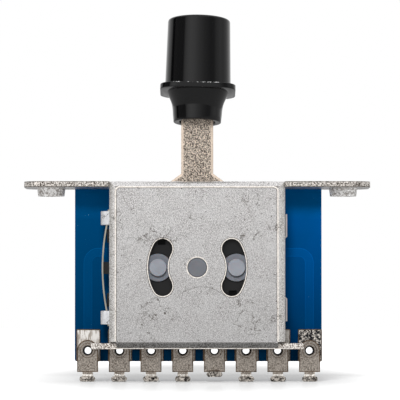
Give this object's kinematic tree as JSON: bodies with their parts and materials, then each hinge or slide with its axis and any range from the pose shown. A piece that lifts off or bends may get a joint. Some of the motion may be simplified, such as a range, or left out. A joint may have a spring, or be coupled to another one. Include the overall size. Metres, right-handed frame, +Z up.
{
  "type": "guitar pickup selector switch",
  "caption": "Boxed lever switch that hangs under a guitar's top: a push-on knob on a steel lever turns a rotor with wipers over a contact board that ends in solder lugs.",
  "frame": {"origin": "middle of the mounting plate's top face, on the line through its two screw holes", "axes": "+Z up along the lever, +X to the right along the plate, -Y towards the slotted front face"},
  "size_m": [0.0488, 0.0116, 0.0518],
  "materials": {
    "nickel_plated_steel": "nickel plated, fine grain",
    "steel": "blanked steel strip, dull",
    "glossy_black": "polished moulding",
    "black_moulding": "moulded, matte",
    "white_nylon": "translucent nylon",
    "grey_nylon": "moulded, satin",
    "spring_bronze": "rolled strip",
    "spring_steel": "rolled strip, bright",
    "blue_board": "coated laminate",
    "silver": "plated",
    "solder": "bright solder",
    "tinned_brass": "tinned"
  },
  "bodies": {
    "switch_body": {"frame": "nickel_plated_steel", "pivot_pin": "grey_nylon", "detent_spring": "spring_bronze", "side_spring": "spring_steel", "contact_board": "blue_board", "contact_tracks": "silver", "solder_pads": "solder", "lug_1": "tinned_brass", "lug_2": "tinned_brass", "lug_3": "tinned_brass", "lug_4": "tinned_brass", "lug_5": "tinned_brass", "lug_6": "tinned_brass", "lug_7": "tinned_brass", "lug_8": "tinned_brass"},
    "lever_body": {"rotor": "black_moulding", "lever": "steel", "knob": "glossy_black", "guide_button_left": "white_nylon", "guide_button_right": "white_nylon", "contact_wiper_left": "spring_bronze", "contact_wiper_right": "spring_bronze"},
    "follower_body": {"detent_follower": "black_moulding"}
  },
  "joints": [
    {"name": "lever_swing", "type": "hinge", "parent": "switch_body", "child": "lever_body", "pos_m": [0, 0, -0.0121], "axis": [0, 1, 0], "range_deg": [-25, 25]},
    {"name": "detent_lift", "type": "slide", "parent": "switch_body", "child": "follower_body", "axis": [-1, 0, 0], "range_m": [-0.00025, 0], "stiffness_N_per_m": 2000, "springref_m": -0.0012}
  ]
}
